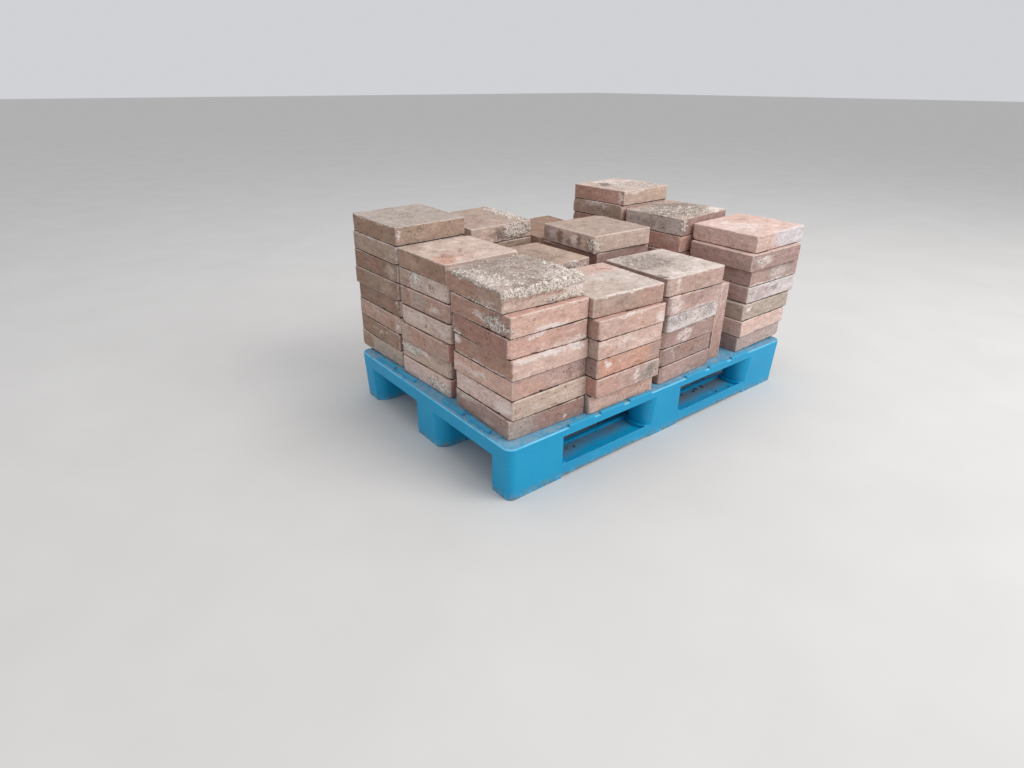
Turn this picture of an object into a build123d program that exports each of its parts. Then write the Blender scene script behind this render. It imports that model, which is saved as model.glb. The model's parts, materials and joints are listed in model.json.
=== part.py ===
"""Reclaimed terracotta floor tiles stacked on a moulded plastic pallet, in millimetres.

X runs along the pallet's long side, Y across it and Z up. The origin is the middle of the
pallet's underside, on the floor.
"""
import os
from math import atan2, degrees

from build123d import *

# Pallet
pallet_length = 1200
pallet_width = 800
deck_height = 155
corner_radius = 25
rim_radius = 5
draft_angle = 2.5

# Skirts that hang from the edge of the deck
side_band_depth = 22
end_band_depth = 42
end_band_thickness = 24

# Blocks, three along the length and three across the width
corner_block_length = 205
middle_block_length = 170
side_block_width = 100
centre_block_width = 150
flank_radius = 45

# Runners between the blocks, a little above their feet, each with a trough inside its rim
runner_lift = 8
runner_floor = 24
runner_rim_rise = 9
runner_rim_width = 9

# Ribs on the underside of the deck, left between shallow pockets
rib_width = 8
rib_pitch = 75
pocket_depth = 8

# Raised lips on the deck's edge, in line with the fork openings
lip_rise = 6
lip_width = 9
side_lip_length = 90
side_lip_gap = 25
side_lip_count = 3
end_lip_length = 102
end_lip_gap = 18
end_lip_count = 2
end_lip_inset = 14

# Tiles, and the gap that grit and old mortar leave between two of them
tile_side = 248
tile_thickness = 53.5
thick_tile = 56
rough_tile = 55
thin_tile = 50
arris = 2.5
worn_corner_radius = 16
bed_gap = 0.3

# Margins and gaps that place the columns and rows of stacks on the deck
end_margin = 35
front_margin = 35
row_gap = 45
back_row_gap = 18
column_gap = 3
open_gap = 36
upright_gap = 27
upright_setback = 10
crumb_gap = 70

# How far some stacks stand off their column and row
middle_2_to_right = 22
middle_2_to_front = 10
middle_3_to_right = 28
middle_3_to_back = 4
middle_4_to_left = 15
middle_4_to_front = 44
back_2_to_right = 33
back_3_to_right = 44
back_23_to_back = 20
back_4_to_left = 45
back_4_to_front = 53

column_1 = -pallet_length / 2 + end_margin + tile_side / 2
column_2 = column_1 + tile_side + column_gap
column_3 = column_2 + tile_side + open_gap
upright_x = column_3 + tile_side / 2 + upright_gap + tile_thickness / 2
column_4 = upright_x + tile_thickness / 2 + crumb_gap + tile_side / 2

row_front = -pallet_width / 2 + front_margin + tile_side / 2
row_middle = row_front + tile_side + row_gap
row_back = row_middle + tile_side + back_row_gap


def block_place(step_x, step_y):
    """Centre and size of one block in plan; the steps are -1, 0 or 1 along the pallet and across it."""
    length = middle_block_length if step_x == 0 else corner_block_length
    width = centre_block_width if step_y == 0 else side_block_width
    centre_x = step_x * (pallet_length - length) / 2
    centre_y = step_y * (pallet_width - width) / 2
    return centre_x, centre_y, length, width


def block_plan(step_x, step_y, margin=0):
    """Plan of one block, widened by a margin all round; every corner inside the pallet's own is round."""
    centre_x, centre_y, length, width = block_place(step_x, step_y)
    plan = Pos(centre_x, centre_y) * Rectangle(length + 2 * margin, width + 2 * margin)
    rounded = plan.vertices()
    if step_x and step_y:
        rounded = rounded.sort_by(lambda v: v.X * step_x + v.Y * step_y)[:-1]
    return fillet(rounded, flank_radius + margin)


def runner(step_y):
    """A board from end block to end block, with a trough in each bay and a rim all round it."""
    end_width = side_block_width if step_y else centre_block_width
    centre_y = step_y * (pallet_width - end_width) / 2
    rim_top = runner_lift + runner_floor + runner_rim_rise
    length = pallet_length - 2 * flank_radius
    board = Pos(0, centre_y, (runner_lift + rim_top) / 2) * Box(length, end_width, rim_top - runner_lift)
    trough = Pos(0, centre_y) * Rectangle(length, end_width - 2 * runner_rim_width)
    for step_x in (-1, 0, 1):
        trough -= block_plan(step_x, step_y, runner_rim_width)
    return board - extrude(Pos(0, 0, rim_top - runner_rim_rise) * trough, runner_rim_rise)


def rib_pockets():
    """Plan of the pockets between the ribs, on a grid that keeps clear of the blocks and skirts."""
    side = rib_pitch - rib_width
    columns = int((pallet_length - 2 * end_band_thickness) // rib_pitch)
    rows = int((pallet_width - 2 * side_band_depth) // rib_pitch)
    blocks = [block_place(x, y) for x in (-1, 0, 1) for y in (-1, 0, 1)]
    cells = []
    for place in GridLocations(rib_pitch, rib_pitch, columns, rows):
        x, y = place.position.X, place.position.Y
        clear = [max(abs(x - block_x) - length / 2, abs(y - block_y) - width / 2)
                 for block_x, block_y, length, width in blocks]
        if min(clear) > side / 2 + rib_width:
            cells.append(Pos(x, y) * Rectangle(side, side))
    return cells


def lip_row(count, length, gap):
    """Centres of a row of lips, measured from the middle of the opening below them."""
    pitch = length + gap
    return [(i - (count - 1) / 2) * pitch for i in range(count)]


def lips():
    """Raised lips: flush with the deck's long sides, and set in from its short ends."""
    side_middle = (pallet_length / 2 - corner_block_length + middle_block_length / 2) / 2
    end_middle = (pallet_width / 2 - side_block_width + centre_block_width / 2) / 2
    bars = []
    for side in (-1, 1):
        for half in (-1, 1):
            for offset in lip_row(side_lip_count, side_lip_length, side_lip_gap):
                place = Pos(half * side_middle + offset, side * (pallet_width - lip_width) / 2, deck_height)
                bars.append(place * Box(side_lip_length, lip_width, 2 * lip_rise))
            for offset in lip_row(end_lip_count, end_lip_length, end_lip_gap):
                inset_x = side * (pallet_length / 2 - end_lip_inset - lip_width / 2)
                place = Pos(inset_x, half * end_middle + offset, deck_height)
                bars.append(place * Box(lip_width, end_lip_length, 2 * lip_rise))
    return bars


def pallet():
    """The whole pallet, moulded as one piece: drafted outside, open to forks on four sides."""
    outline = RectangleRounded(pallet_length, pallet_width, corner_radius)
    from_top = Plane((0, 0, deck_height), x_dir=(1, 0, 0), z_dir=(0, 0, -1))
    envelope = extrude(from_top * outline, deck_height, taper=draft_angle)
    envelope = fillet(envelope.faces().sort_by(Axis.Z)[-1].edges(), rim_radius)

    underside = deck_height - side_band_depth
    structure = Pos(0, 0, underside) * extrude(outline, side_band_depth)
    for step_x in (-1, 0, 1):
        for step_y in (-1, 0, 1):
            structure += extrude(block_plan(step_x, step_y), underside)
    for step_y in (-1, 0, 1):
        structure += runner(step_y)
    for side in (-1, 1):
        band_x = side * (pallet_length - end_band_thickness) / 2
        band_z = deck_height - end_band_depth / 2
        structure += Pos(band_x, 0, band_z) * Box(end_band_thickness, pallet_width, end_band_depth)
    body = envelope & structure
    body -= [extrude(Pos(0, 0, underside) * pocket, pocket_depth) for pocket in rib_pockets()]
    for bar in lips():
        body += bar
    return body


def tile(thickness, worn_corner=False):
    """One fired tile with its arrises worn off, and perhaps its near left corner worn round."""
    slab = Box(tile_side, tile_side, thickness, align=(Align.CENTER, Align.CENTER, Align.MIN))
    upright = slab.edges().filter_by(Axis.Z)
    if worn_corner:
        near = upright.sort_by(lambda edge: edge.center().X + edge.center().Y)[0]
        slab = fillet(near, worn_corner_radius)
        faces = slab.faces().filter_by(Axis.Z)
        return chamfer(faces[0].edges() + faces[1].edges(), arris)
    return chamfer(slab.edges(), arris)


def stack(x, y, thickness, courses, over_side=False, over_end=False, worn_corner=False):
    """Tiles laid on each other from the deck up; each course is its shift in x and y, and its turn.

    A stack that reaches over a lip of the deck's far side or far end rides up on it, so it
    leans back by the lip's height over the width between its near edge and the lip.
    """
    tiles = []
    level = 0
    for shift_x, shift_y, turn in courses:
        tiles.append(Pos(shift_x, shift_y, level) * Rot(0, 0, turn) * tile(thickness, worn_corner))
        level += thickness + bed_gap
    near_x = x - tile_side / 2
    near_y = y - tile_side / 2
    side_lip_inner = pallet_width / 2 - lip_width
    end_lip_inner = pallet_length / 2 - end_lip_inset - lip_width
    lean_x = degrees(atan2(lip_rise, side_lip_inner - near_y)) if over_side else 0
    lean_y = -degrees(atan2(lip_rise, end_lip_inner - near_x)) if over_end else 0
    seat = Pos(near_x, near_y, deck_height + bed_gap) * Rot(lean_x, lean_y, 0)
    place = seat * Pos(tile_side / 2, tile_side / 2, 0)
    return Compound(children=[place * piece for piece in tiles])


def upright_tile():
    """The tile that stands on its edge between two stacks of the front row."""
    place = Pos(upright_x, row_front + upright_setback, deck_height + bed_gap + tile_side / 2)
    return place * Rot(0, -90, 0) * Pos(0, 0, -tile_thickness / 2) * tile(tile_thickness)


def all_stacks():
    """Every stack by name, in three rows from the front and four columns from the left."""
    return {
        "tile_stack_front_1": stack(column_1, row_front, tile_thickness, [
            (0, 0, -2), (4, 0, 0), (3, 6, 1), (3, 0, 0), (0, 5, -2), (0, 4, 0), (1, 28, -2)]),
        "tile_stack_front_2": stack(column_2, row_front, tile_thickness, [
            (0, -20, -1), (1, -38, 0), (3, -33, 0), (1, -35, 0), (1, -37, -1), (6, -20, -4)]),
        "tile_stack_front_3": stack(column_3, row_front, tile_thickness, [
            (-1, -10, 2), (0, -7, 2), (4, -6, 0), (4, -13, 3), (-5, -22, 1), (-2, -19, -2)],
            worn_corner=True),
        "tile_stack_front_4": stack(column_4, row_front, tile_thickness, [
            (0, -8, 0), (-2, -17, 0), (9, -15, -2), (28, -14, -3), (36, -12, -3), (16, -22, -4),
            (38, -10, -2)], over_end=True),
        "tile_stack_middle_1": stack(column_1, row_middle, tile_thickness, [
            (3, -2, 2), (9, 6, 3), (3, -3, 1), (9, -6, 2), (15, 7, 2), (20, 13, 2), (18, 13, 1)],
            worn_corner=True),
        "tile_stack_middle_2": stack(
            column_2 + middle_2_to_right, row_middle - middle_2_to_front, tile_thickness, [
            (0, 0, 1), (3, -4, -1), (-2, 3, 2), (4, 0, 0), (0, 5, -2), (3, 0, 1)]),
        "tile_stack_middle_3": stack(
            column_3 + middle_3_to_right, row_middle + middle_3_to_back, tile_thickness, [
            (0, 2, 0), (-3, 0, 2), (2, 5, -1), (-4, 2, 1), (0, -3, 0), (3, 4, 2), (0, 0, -2)]),
        "tile_stack_middle_4": stack(
            column_4 - middle_4_to_left, row_middle - middle_4_to_front, thick_tile, [
            (0, 0, 0), (4, 2, 1), (-2, 1, -1), (3, 0, 0), (-4, 2, 0), (2, 2, 1), (4, 3, 1)],
            over_end=True, worn_corner=True),
        "tile_stack_back_1": stack(column_1, row_back, tile_thickness, [
            (0, 2, 3), (0, 4, 1), (2, 6, 2), (7, 8, 3), (0, 12, 4), (3, 13, 4), (4, 14, 3), (8, 14, 3)],
            over_side=True, worn_corner=True),
        "tile_stack_back_2": stack(
            column_2 + back_2_to_right, row_back + back_23_to_back, rough_tile, [
            (0, 0, 1), (-3, 3, 0), (2, 2, -2), (-2, 6, 1), (0, 6, 2), (3, 8, 0), (0, 10, 2)],
            over_side=True),
        "tile_stack_back_3": stack(
            column_3 + back_3_to_right, row_back + back_23_to_back, tile_thickness, [
            (0, 0, 0), (3, 2, 1), (-2, 4, -1), (0, 4, 2), (4, 6, 0), (0, 8, -1)], over_side=True),
        "tile_stack_back_4": stack(
            column_4 - back_4_to_left, row_back - back_4_to_front, thin_tile, [
            (0, 0, 0), (3, 3, 1), (-2, 2, 0), (2, 5, -1), (6, 3, 1), (8, 2, 0), (10, 4, 2), (9, 4, 1),
            (12, 3, 2)]),
    }


os.makedirs("parts", exist_ok=True)
export_step(pallet(), "parts/pallet.step")
for name, tiles in all_stacks().items():
    export_step(tiles, f"parts/{name}.step")
export_step(upright_tile(), "parts/upright_tile.step")
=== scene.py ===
"""Looks of a moulded plastic pallet loaded with reclaimed terracotta tiles, in metres."""
import json
from functools import reduce
from itertools import product
from math import cos, radians, sin

import bpy
import numpy as np
from mathutils import Matrix, Vector
from mathutils.bvhtree import BVHTree

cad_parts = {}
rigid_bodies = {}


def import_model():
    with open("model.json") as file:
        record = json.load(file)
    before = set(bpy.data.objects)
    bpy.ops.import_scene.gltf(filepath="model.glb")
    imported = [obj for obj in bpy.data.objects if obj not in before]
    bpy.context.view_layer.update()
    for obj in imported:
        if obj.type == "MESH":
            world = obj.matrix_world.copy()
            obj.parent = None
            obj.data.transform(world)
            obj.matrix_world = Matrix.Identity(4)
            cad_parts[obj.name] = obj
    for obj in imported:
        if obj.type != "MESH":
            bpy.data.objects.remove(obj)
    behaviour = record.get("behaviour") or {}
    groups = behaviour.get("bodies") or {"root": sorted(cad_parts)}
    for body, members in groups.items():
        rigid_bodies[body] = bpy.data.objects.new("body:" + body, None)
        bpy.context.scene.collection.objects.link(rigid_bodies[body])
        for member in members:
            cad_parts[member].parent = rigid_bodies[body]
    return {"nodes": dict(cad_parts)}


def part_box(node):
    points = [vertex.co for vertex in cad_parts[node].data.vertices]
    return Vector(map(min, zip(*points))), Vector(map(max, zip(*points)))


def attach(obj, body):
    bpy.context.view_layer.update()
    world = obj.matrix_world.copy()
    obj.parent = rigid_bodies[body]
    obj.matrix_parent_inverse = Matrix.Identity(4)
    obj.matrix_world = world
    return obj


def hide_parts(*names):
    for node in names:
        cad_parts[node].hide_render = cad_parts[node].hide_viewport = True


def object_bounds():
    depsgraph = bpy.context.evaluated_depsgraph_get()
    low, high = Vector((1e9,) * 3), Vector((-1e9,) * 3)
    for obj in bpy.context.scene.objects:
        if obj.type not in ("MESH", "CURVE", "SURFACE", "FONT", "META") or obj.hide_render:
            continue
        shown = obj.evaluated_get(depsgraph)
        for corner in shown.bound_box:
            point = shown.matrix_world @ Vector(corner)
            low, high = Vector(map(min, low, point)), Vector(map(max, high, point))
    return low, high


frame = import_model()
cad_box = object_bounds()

bl_info = {
    "name": "Pallet of Terracotta Tiles",
    "version": (1, 0, 0),
    "blender": (4, 5, 0),
    "location": "3D View > Sidebar > Tiles",
    "description": "Dresses a loaded pallet: worn plastic, fired clay tiles, mortar, grit and a plain stage",
    "category": "Object",
}

BODY = "root"
FRONT, LEFT, TOP, BACK, RIGHT, BED = "front", "left", "top", "back", "right", "bed"

# Fired clay, lime and dust, as seen in plain daylight (red, green and blue out of 255)
TONES = {
    "salmon": (202, 163, 149), "peach": (208, 173, 158), "pink": (212, 181, 168), "blush": (217, 189, 178),
    "rose": (190, 161, 151), "orange": (203, 157, 138), "red": (191, 143, 129), "shell": (204, 182, 169),
    "buff": (197, 173, 157), "sand": (190, 170, 155), "pale": (203, 189, 180), "chalk": (210, 203, 205),
    "cream": (217, 203, 187), "tan": (177, 156, 143), "clay": (184, 152, 137), "khaki": (170, 147, 131),
    "mauve": (171, 143, 135), "brown": (161, 135, 126), "russet": (174, 138, 122), "umber": (165, 127, 114),
    "sepia": (157, 129, 110), "dun": (147, 118, 101), "grey": (176, 163, 153), "dove": (188, 171, 165),
    "olive": (184, 168, 155), "lime": (240, 227, 221), "mortar": (239, 229, 218),
    # The joint tone is the dark of the gaps between stacked tiles: dirt and painted shade
    "crevice": (124, 102, 91), "soot": (98, 87, 80), "joint": (74, 54, 46),
    # The pale second blue here serves both rubbed plastic and painted highlights on edges, rims and lips
    "blue": (5, 157, 203), "rubbed_and_sheen_blue": (120, 205, 238), "deck_dust": (172, 184, 192),
    "trough_dust": (128, 120, 112), "stone": (120, 118, 114), "dark_stone": (62, 62, 62),
}
KILN_MIX = ("salmon", "pink", "buff", "tan", "clay", "red", "khaki", "rose", "peach", "mauve")

# Looks of the tiles that show, top course first: the tones of the front, the left side and the top,
# then marks (kind, face, across, up, half width, half height, strength) in parts of the face.
# The left sides' tones run darker and redder than the fronts': partly dirt, partly painted shade.
# Some fronts of front_3 and front_4 are a tone darker to take out the stronger light there: painted shade.
LOOKS = {
    "tile_stack_front_1": [
        ("shell russet shell", [
            ("mortar", FRONT, .45, .82, .62, .24, .85), ("mortar", FRONT, .78, .16, .27, .18, .85),
            ("umber", FRONT, .40, .50, .42, .06, .75),
            ("lime", FRONT, .90, .58, .14, .36, .75), ("lime", FRONT, .25, .80, .30, .16, .60),
            ("khaki", LEFT, .80, .55, .28, .60, .65),
            ("lime", LEFT, .72, .22, .16, .16, .40), ("mortar", LEFT, .45, .96, .60, .14, .50),
            ("mortar", LEFT, .60, .04, .40, .12, .50), ("mortar", TOP, .14, .46, .18, .42, .52),
            ("mortar", TOP, .30, .26, .34, .20, .40), ("mortar", TOP, .80, .10, .34, .12, .52),
            ("mortar", TOP, .97, .30, .06, .45, .60), ("mortar", TOP, .50, .60, .80, .60, .28),
            ("grime", TOP, .55, .65, .70, .55, .52), ("grime", TOP, .40, .08, .34, .10, .66),
            ("lime", TOP, .45, .38, .08, .06, .95), ("lime", TOP, .84, .24, .22, .24, .70),
            ("lime", TOP, .12, .45, .14, .40, .55), ("umber", TOP, .45, .85, .10, .08, .70),
            ("grey", TOP, .50, .55, .70, .60, .45), ("grit", TOP, .45, .35, .60, .50, .80)]),
        ("peach russet salmon", [
            ("lime", FRONT, .50, .12, .26, .13, .85), ("lime", FRONT, .08, .16, .08, .12, .60),
            ("lime", FRONT, .55, .94, .50, .08, .50), ("mortar", LEFT, .80, .42, .22, .38, .56),
            ("grime", LEFT, .78, .45, .24, .45, .60), ("lime", LEFT, .58, .50, .24, .22, .60)]),
        ("salmon umber salmon", [
            ("lime", FRONT, .34, .88, .13, .14, .85), ("lime", FRONT, .78, .14, .30, .18, .60),
            ("pink", FRONT, .35, .20, .40, .25, .50), ("mortar", LEFT, .10, .08, .10, .14, .60)]),
        ("pink russet pink", [
            ("lime", FRONT, .48, .86, .52, .15, .88), ("lime", FRONT, .84, .80, .12, .20, .95),
            ("lime", LEFT, .06, .70, .08, .25, .75), ("umber", LEFT, .45, .70, .35, .30, .60),
            ("lime", LEFT, .50, .05, .55, .08, .70)]),
        ("rose peach buff", [
            ("orange", FRONT, .20, .45, .25, .45, .40), ("umber", FRONT, .76, .50, .03, .40, .50),
            ("grime", FRONT, .78, .50, .10, .40, .40), ("lime", LEFT, .30, .45, .35, .20, .60)]),
        ("buff blush buff", [
            ("lime", FRONT, .60, .40, .35, .30, .40), ("umber", FRONT, .03, .50, .02, .50, .50),
            ("lime", LEFT, .82, .45, .15, .35, .85), ("lime", LEFT, .30, .55, .30, .30, .45)]),
        ("brown brown brown", [
            ("grey", FRONT, .14, .50, .16, .60, .80), ("umber", FRONT, .70, .60, .30, .50, .55),
            ("lime", FRONT, .74, .32, .025, .14, .95), ("cream", LEFT, .20, .84, .20, .16, .85),
            ("cream", LEFT, .64, .24, .10, .14, .80), ("mauve", LEFT, .55, .50, .40, .40, .60)]),
    ],
    "tile_stack_front_2": [
        ("clay clay pale", [
            ("tan", FRONT, .25, .55, .30, .50, .70), ("lime", FRONT, .50, .97, .50, .07, .75),
            ("lime", TOP, .18, .74, .22, .16, .85), ("peach", TOP, .74, .86, .28, .20, .80),
            ("sand", TOP, .30, .20, .40, .30, .60), ("umber", TOP, .84, .80, .07, .03, .80)]),
        ("peach russet salmon", [
            ("lime", FRONT, .52, .92, .26, .11, .75), ("lime", FRONT, .92, .36, .10, .32, .66),
            ("rose", FRONT, .20, .40, .30, .40, .50)]),
        ("pink tan pink", [
            ("lime", FRONT, .30, .70, .30, .22, .50), ("lime", FRONT, .75, .40, .22, .25, .45),
            ("salmon", FRONT, .10, .30, .14, .40, .50)]),
        ("orange brown salmon", [
            ("lime", FRONT, .15, .60, .05, .22, .80), ("mauve", FRONT, .92, .50, .12, .60, .80),
            ("lime", FRONT, .40, .70, .20, .14, .40)]),
        ("rose red red", [
            ("grey", FRONT, .82, .50, .15, .55, .85), ("lime", FRONT, .62, .50, .04, .45, .85),
            ("grime", FRONT, .82, .48, .14, .40, .50), ("orange", FRONT, .15, .50, .20, .50, .50)]),
        ("peach tan pink", [
            ("pink", FRONT, .20, .50, .25, .60, .70), ("orange", FRONT, .55, .70, .22, .30, .50)]),
    ],
    "tile_stack_front_3": [
        ("rose brown pale", [
            ("cream", FRONT, .18, .55, .035, .50, .80), ("shell", FRONT, .05, .50, .07, .60, .60),
            ("clay", FRONT, .55, .50, .30, .40, .50), ("grime", TOP, .32, .66, .40, .34, .50),
            ("crevice", TOP, .03, .14, .04, .07, .80),
            ("grey", TOP, .38, .62, .45, .36, .70), ("lime", TOP, .50, .05, .60, .10, .55),
            ("mortar", TOP, .24, .76, .36, .24, .34), ("grit", TOP, .35, .60, .35, .40, .45)]),
        ("rose mauve pink", [
            ("lime", FRONT, .14, .50, .14, .55, .62), ("lime", FRONT, .60, .06, .45, .09, .70),
            ("mauve", FRONT, .50, .60, .25, .35, .60), ("lime", FRONT, .93, .50, .06, .30, .50)]),
        ("pale grey pale", [
            ("chalk", FRONT, .50, .50, .80, .90, .75), ("lime", FRONT, .50, .50, .80, .90, .60),
            ("lime", FRONT, .70, .60, .30, .60, .85), ("mortar", FRONT, .66, .55, .45, .60, .30),
            ("grime", FRONT, .20, .55, .24, .38, .52),
            ("grime", FRONT, .78, .50, .18, .38, .52), ("pink", FRONT, .52, .45, .16, .40, .50)]),
        ("mauve umber brown", [
            ("lime", FRONT, .42, .48, .16, .42, .64), ("lime", FRONT, .45, .97, .50, .06, .75),
            ("umber", FRONT, .04, .50, .05, .60, .60), ("umber", FRONT, .97, .50, .05, .60, .60)]),
        ("brown umber tan", [
            ("lime", FRONT, .23, .55, .012, .45, .80), ("umber", FRONT, .65, .70, .35, .25, .60)]),
        ("mauve umber salmon", [
            ("rose", FRONT, .25, .40, .30, .45, .70), ("lime", FRONT, .60, .12, .14, .12, .50)]),
    ],
    "tile_stack_front_4": [
        ("pink blush blush", [
            ("chalk", FRONT, .76, .50, .38, .90, 1.0), ("lime", FRONT, .72, .55, .34, .60, .20),
            ("lime", FRONT, .70, .96, .36, .08, .80),
            ("lime", TOP, .30, .50, .30, .28, .60), ("peach", TOP, .75, .75, .30, .25, .60)]),
        ("mauve rose pink", [
            ("mortar", FRONT, .17, .60, .15, .28, .52), ("lime", FRONT, .22, .50, .22, .36, .65),
            ("tan", LEFT, .82, .25, .15, .30, .80)]),
        ("mauve rose pink", [
            ("grey", FRONT, .60, .50, .28, .50, .60), ("lime", FRONT, .56, .52, .20, .42, .56),
            ("lime", FRONT, .50, .06, .55, .08, .75),
            ("rose", FRONT, .15, .55, .16, .40, .60)]),
        ("pale rose pale", [
            ("chalk", FRONT, .60, .50, .60, .90, .60), ("grime", FRONT, .56, .60, .09, .20, .60),
            ("grime", FRONT, .10, .62, .05, .16, .60),
            ("lime", FRONT, .72, .24, .30, .20, .58), ("mauve", FRONT, .30, .45, .20, .30, .45)]),
        ("olive sand olive", [
            ("lime", FRONT, .12, .66, .06, .18, .80), ("grey", FRONT, .88, .50, .10, .50, .70)]),
        ("blush pink pink", [("peach", FRONT, .40, .70, .35, .25, .60)]),
        ("dove mauve buff", [("rose", FRONT, .40, .50, .35, .40, .50)]),
    ],
    "tile_stack_middle_1": [
        ("shell sepia shell", [
            ("umber", LEFT, .70, .08, .35, .08, .80), ("clay", LEFT, .25, .50, .25, .40, .60),
            ("orange", TOP, .10, .20, .16, .16, .90), ("salmon", TOP, .30, .24, .22, .12, .60),
            ("umber", TOP, .48, .44, .05, .05, .70), ("umber", TOP, .22, .30, .05, .04, .60),
            ("khaki", TOP, .10, .85, .14, .18, .60), ("grime", TOP, .30, .35, .30, .25, .35)]),
        ("tan shell buff", [
            ("umber", LEFT, .20, .50, .012, .60, .95), ("mortar", LEFT, .35, .60, .13, .42, .60),
            ("lime", LEFT, .36, .60, .12, .36, .75), ("khaki", LEFT, .09, .50, .10, .60, .80),
            ("grime", LEFT, .66, .50, .08, .20, .50), ("lime", LEFT, .85, .35, .10, .30, .45)]),
        ("salmon clay red", [
            ("khaki", LEFT, .09, .50, .10, .60, .80), ("umber", LEFT, .19, .40, .012, .50, .80),
            ("lime", LEFT, .74, .40, .14, .22, .55), ("grey", LEFT, .40, .50, .16, .40, .60)]),
        ("tan shell buff", [
            ("lime", LEFT, .35, .60, .30, .30, .60), ("grime", LEFT, .50, .45, .05, .16, .60),
            ("lime", LEFT, .85, .60, .12, .25, .55)]),
        ("red clay red", [("red", LEFT, .40, .50, .08, .36, .60), ("buff", LEFT, .10, .50, .12, .50, .60)]),
        ("brown buff buff", [
            ("mortar", LEFT, .22, .62, .26, .32, .62), ("lime", LEFT, .42, .72, .22, .14, .75),
            ("umber", LEFT, .45, .90, .40, .05, .60)]),
        ("red blush buff", [
            ("mortar", LEFT, .76, .42, .24, .40, .70), ("lime", LEFT, .80, .45, .16, .30, .60),
            ("lime", LEFT, .30, .35, .20, .14, .50)]),
    ],
    "tile_stack_back_1": [
        ("khaki sepia grey", [
            ("lime", LEFT, .50, .92, .55, .08, .50), ("lime", FRONT, .04, .55, .035, .30, .80),
            ("grime", FRONT, .30, .70, .18, .30, .35)]),
        ("pale khaki buff", [
            ("tan", LEFT, .94, .50, .06, .60, .80), ("lime", LEFT, .50, .92, .50, .07, .45)]),
        ("tan dun buff", [
            ("umber", LEFT, .45, .50, .14, .30, .60), ("tan", LEFT, .86, .50, .12, .40, .80),
            ("lime", LEFT, .88, .45, .08, .30, .40)]),
        ("tan sepia buff", [("tan", LEFT, .75, .50, .14, .40, .60), ("lime", LEFT, .40, .90, .40, .06, .40)]),
        ("pink dun buff", [
            ("lime", LEFT, .93, .50, .03, .40, .60), ("umber", LEFT, .70, .60, .14, .36, .60)]),
        ("cream clay buff", [
            ("umber", LEFT, .82, .42, .05, .30, .85), ("lime", LEFT, .95, .60, .05, .40, .60),
            ("lime", LEFT, .35, .70, .30, .14, .45)]),
        ("brown sepia buff", [
            ("lime", LEFT, .50, .60, .22, .12, .60), ("russet", LEFT, .85, .50, .14, .40, .50)]),
        ("brown sand buff", [
            ("sepia", LEFT, .14, .40, .14, .50, .90), ("umber", LEFT, .29, .40, .012, .60, .90),
            ("grey", LEFT, .65, .40, .30, .40, .70)]),
    ],
    "tile_stack_middle_2": [("rose clay buff", [
        ("mortar", FRONT, .50, .70, .50, .30, .50),
        ("umber", TOP, .50, .92, .60, .10, .50), ("khaki", TOP, .50, .50, .60, .55, .50),
        ("grime", TOP, .35, .45, .55, .45, .50), ("mortar", TOP, .50, .40, .60, .50, .16),
        ("grit", TOP, .50, .60, .60, .50, .15)])],
    "tile_stack_middle_3": [
        ("shell shell tan", [
            ("mortar", FRONT, .05, .45, .05, .45, .85), ("mortar", LEFT, .93, .45, .06, .50, .80),
            ("mauve", LEFT, .10, .55, .16, .50, .80), ("chalk", LEFT, .18, .55, .07, .28, .70),
            ("crevice", LEFT, .34, .45, .06, .45, .80), ("crevice", LEFT, .52, .30, .05, .20, .70),
            ("lime", LEFT, .62, .50, .07, .30, .95), ("crevice", LEFT, .71, .55, .04, .40, .70),
            ("crevice", LEFT, .89, .45, .035, .45, .80),
            ("shell", FRONT, .40, .85, .50, .18, .50)]),
        ("brown umber brown", []), ("mauve umber brown", [])],
    "tile_stack_middle_4": [
        ("mauve pale sand", [
            ("grime", TOP, .45, .50, .60, .50, .62), ("mortar", TOP, .46, .38, .56, .40, .42),
            ("lime", TOP, .85, .12, .20, .14, .90), ("lime", TOP, .30, .70, .30, .20, .60),
            ("grey", TOP, .65, .60, .25, .25, .80), ("mortar", FRONT, .03, .60, .05, .45, .80),
            ("grit", TOP, .40, .40, .50, .50, .50),
            ("grime", LEFT, .45, .45, .45, .40, .42), ("lime", LEFT, .60, .12, .40, .10, .55),
            ("lime", LEFT, .85, .40, .12, .35, .60)]),
        ("salmon salmon pink", [("lime", LEFT, .80, .60, .14, .30, .50)]), ("salmon mauve pink", [])],
    "tile_stack_back_2": [
        ("shell pale tan", [
            ("mortar", FRONT, .75, .55, .30, .45, .62), ("grime", FRONT, .70, .50, .40, .50, .75),
            ("mortar", TOP, .90, .45, .12, .50, .60), ("mauve", TOP, .20, .45, .25, .35, .60),
            ("grit", TOP, .60, .50, .50, .60, .80)]),
        ("khaki clay tan", [])],
    "tile_stack_back_3": [
        ("pink clay sepia", [("grime", TOP, .50, .50, .50, .50, .35)]), ("clay red tan", [])],
    "tile_stack_back_4": [
        ("buff russet shell", [
            ("mortar", TOP, .50, .30, .50, .30, .45), ("grime", TOP, .28, .66, .14, .12, .85),
            ("lime", TOP, .60, .75, .40, .22, .70), ("grime", TOP, .50, .50, .50, .50, .35),
            ("salmon", LEFT, .70, .50, .30, .50, .60), ("lime", FRONT, .20, .85, .30, .14, .60),
            ("lime", LEFT, .93, .50, .05, .45, .80)]),
        ("rose khaki buff", [
            ("lime", LEFT, .50, .80, .30, .20, .55), ("grime", LEFT, .60, .45, .40, .30, .40)]),
        ("salmon umber buff", [])],
    "upright_tile": [("rose clay rose", [
        ("russet", FRONT, .90, .50, .40, .70, .60), ("lime", FRONT, .10, .50, .20, .60, .40)])],
}
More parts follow.
